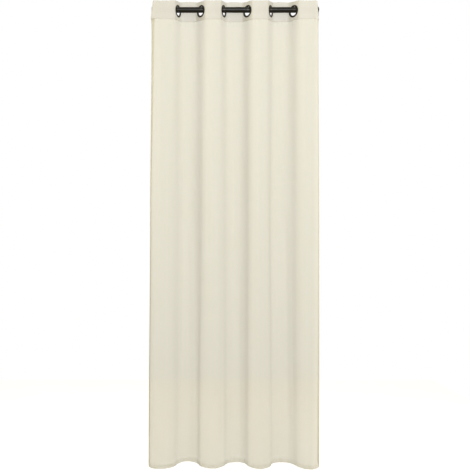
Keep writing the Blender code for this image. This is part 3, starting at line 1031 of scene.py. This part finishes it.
def make_cloth(name, light, deep, bump, cover, turned_cover, **weave_values):
    """A woven material whose gaps are really open."""
    material, tree, shader = new_material(name, CLOTH_SHADER)
    place = step(tree, "ShaderNodeUVMap", uv_map="flat cloth").outputs[0]
    turned = step(tree, "ShaderNodeAttribute", attribute_name="turned").outputs["Fac"]
    weave = step(tree, "ShaderNodeGroup", node_tree=WEAVE)
    tree.links.new(place, weave.inputs["Place"])
    tree.links.new(work_out(tree, "MULTIPLY_ADD", turned, turned_cover - cover, cover), weave.inputs["Cover"])
    for socket, value in weave_values.items():
        weave.inputs[socket].default_value = value
    tree.links.new(mixed_colour(tree, weave.outputs["Tone"], deep, light), shader.inputs["Base Color"])
    tree.links.new(weave.outputs["Density"], shader.inputs["Alpha"])
    relief = {"Strength": bump, "Distance": 0.0002, "Height": weave.outputs["Height"]}
    tree.links.new(step(tree, "ShaderNodeBump", relief).outputs[0], shader.inputs["Normal"])
    return material


def make_thread():
    """Twisted sewing thread: fine slanting plies in colour and relief."""
    material, tree, shader = new_material("sewing thread", CLOTH_SHADER)
    place = step(tree, "ShaderNodeTexCoord").outputs["Object"]
    plies = {"Vector": place, "Scale": 900.0, "Distortion": 1.5}
    twist = step(tree, "ShaderNodeTexWave", plies, bands_direction="DIAGONAL").outputs["Fac"]
    tree.links.new(mixed_colour(tree, twist, THREAD_DEEP, THREAD_LIGHT), shader.inputs["Base Color"])
    relief = {"Strength": 0.4, "Distance": 0.0001, "Height": twist}
    tree.links.new(step(tree, "ShaderNodeBump", relief).outputs[0], shader.inputs["Normal"])
    return material


VOILE = make_cloth(
    "ivory voile", VOILE_LIGHT, VOILE_DEEP, bump=0.25, cover=0.66, turned_cover=0.22,
    Pitch=0.0005, Contrast=0.45, Slub=0.10, Mottle=0.06,
)
HEADER_CLOTH = make_cloth(
    "stiffened voile", HEADER_LIGHT, HEADER_DEEP, bump=0.25, cover=0.88, turned_cover=0.80,
    Pitch=0.0004, Contrast=0.20, Slub=0.04, Mottle=0.04,
)
THREAD = make_thread()
print("cloth materials:", VOILE.name, "and", HEADER_CLOTH.name)

# %% [markdown]
# ## Satin dark metal, as a shader
#
# The rod and the eyelets have a satin black finish with a little bronze in it. It isn't even: the gloss
# varies from patch to patch, fine scratches run through it, and it is polished where metal rubs on metal. One
# group works this out for both. It reads the wear that is stored on the vertices and breaks it up with noise,
# so that the polish has no hard edge.

# %% Rubbed metal
METAL_SHADER = {"Metallic": 0.0, "Specular IOR Level": 0.25}
ROD_BLACK = (0.009, 0.008, 0.006, 1.0)
ROD_WORN = (0.030, 0.026, 0.019, 1.0)
EYELET_BLACK = (0.012, 0.010, 0.008, 1.0)
EYELET_WORN = (0.050, 0.043, 0.033, 1.0)


def make_rubbed_metal():
    """The metal group: where the finish is worn, how rough it is, and its fine relief."""
    inputs = [("Place", "NodeSocketVector"), ("Rub", "NodeSocketFloat"), ("Grain", "NodeSocketFloat")]
    tree, given, result = new_group("rubbed metal", inputs, ("Worn", "Roughness", "Height"))
    place, grain = given.outputs["Place"], given.outputs["Grain"]
    patchy = {"Vector": place, "Scale": 130.0, "Detail": 4.0}
    patch = step(tree, "ShaderNodeTexNoise", patchy).outputs["Fac"]
    fine = step(tree, "ShaderNodeTexNoise", {"Vector": place, "Scale": grain, "Detail": 2.0}).outputs["Fac"]
    raised = work_out(tree, "ADD", given.outputs["Rub"], work_out(tree, "MULTIPLY", patch, 0.9))
    limits = {"Value": raised, "From Min": 0.95, "From Max": 1.45}
    worn = step(tree, "ShaderNodeMapRange", limits, interpolation_type="SMOOTHSTEP").outputs[0]
    rough = work_out(tree, "MULTIPLY_ADD", patch, 0.22, 0.26)
    rough = work_out(tree, "SUBTRACT", rough, work_out(tree, "MULTIPLY", worn, 0.12))
    height = work_out(tree, "MULTIPLY_ADD", patch, 0.5, fine)
    for socket, value in (("Worn", worn), ("Roughness", rough), ("Height", height)):
        tree.links.new(value, result.inputs[socket])
    return tree


RUBBED_METAL = make_rubbed_metal()


def make_metal(name, colour, worn_colour, grain):
    """A satin metal that is lighter and glossier where it is rubbed."""
    material, tree, shader = new_material(name, METAL_SHADER)
    metal = step(tree, "ShaderNodeGroup", node_tree=RUBBED_METAL)
    tree.links.new(step(tree, "ShaderNodeTexCoord").outputs["Object"], metal.inputs["Place"])
    rub = step(tree, "ShaderNodeAttribute", attribute_name="rub").outputs["Fac"]
    tree.links.new(rub, metal.inputs["Rub"])
    metal.inputs["Grain"].default_value = grain
    worn = metal.outputs["Worn"]
    tree.links.new(mixed_colour(tree, worn, colour, worn_colour), shader.inputs["Base Color"])
    tree.links.new(metal.outputs["Roughness"], shader.inputs["Roughness"])
    relief = {"Strength": 0.15, "Distance": 0.0002, "Height": metal.outputs["Height"]}
    tree.links.new(step(tree, "ShaderNodeBump", relief).outputs[0], shader.inputs["Normal"])
    return material


ROD_METAL = make_metal("satin black rod", ROD_BLACK, ROD_WORN, grain=900.0)
EYELET_METAL = make_metal("satin black eyelet", EYELET_BLACK, EYELET_WORN, grain=1400.0)
print("metal materials:", ROD_METAL.name, "and", EYELET_METAL.name)

# %% [markdown]
# ## Put it together
#
# Every piece gets its material and rides on the curtain's one body, and the imported solids that the pieces
# stand for are hidden.

# %% Materials, bodies and hidden solids
PARTS = [
    (panel, VOILE, "voile"),
    (hem_stitches, THREAD, "voile"),
    (header, HEADER_CLOTH, "header_voile"),
    (header_stitches, THREAD, "header_voile"),
    (rod, ROD_METAL, "rod_metal"),
]
PARTS += [(eyelet, EYELET_METAL, "eyelet_metal") for eyelet in eyelets]
for piece, material, slot in PARTS:
    piece.data.materials.append(material)
    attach(piece, "root")

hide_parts("panel")
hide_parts("header")
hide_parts("rod")
for index, eyelet in enumerate(eyelets):
    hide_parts(f"eyelet_{index + 1}")
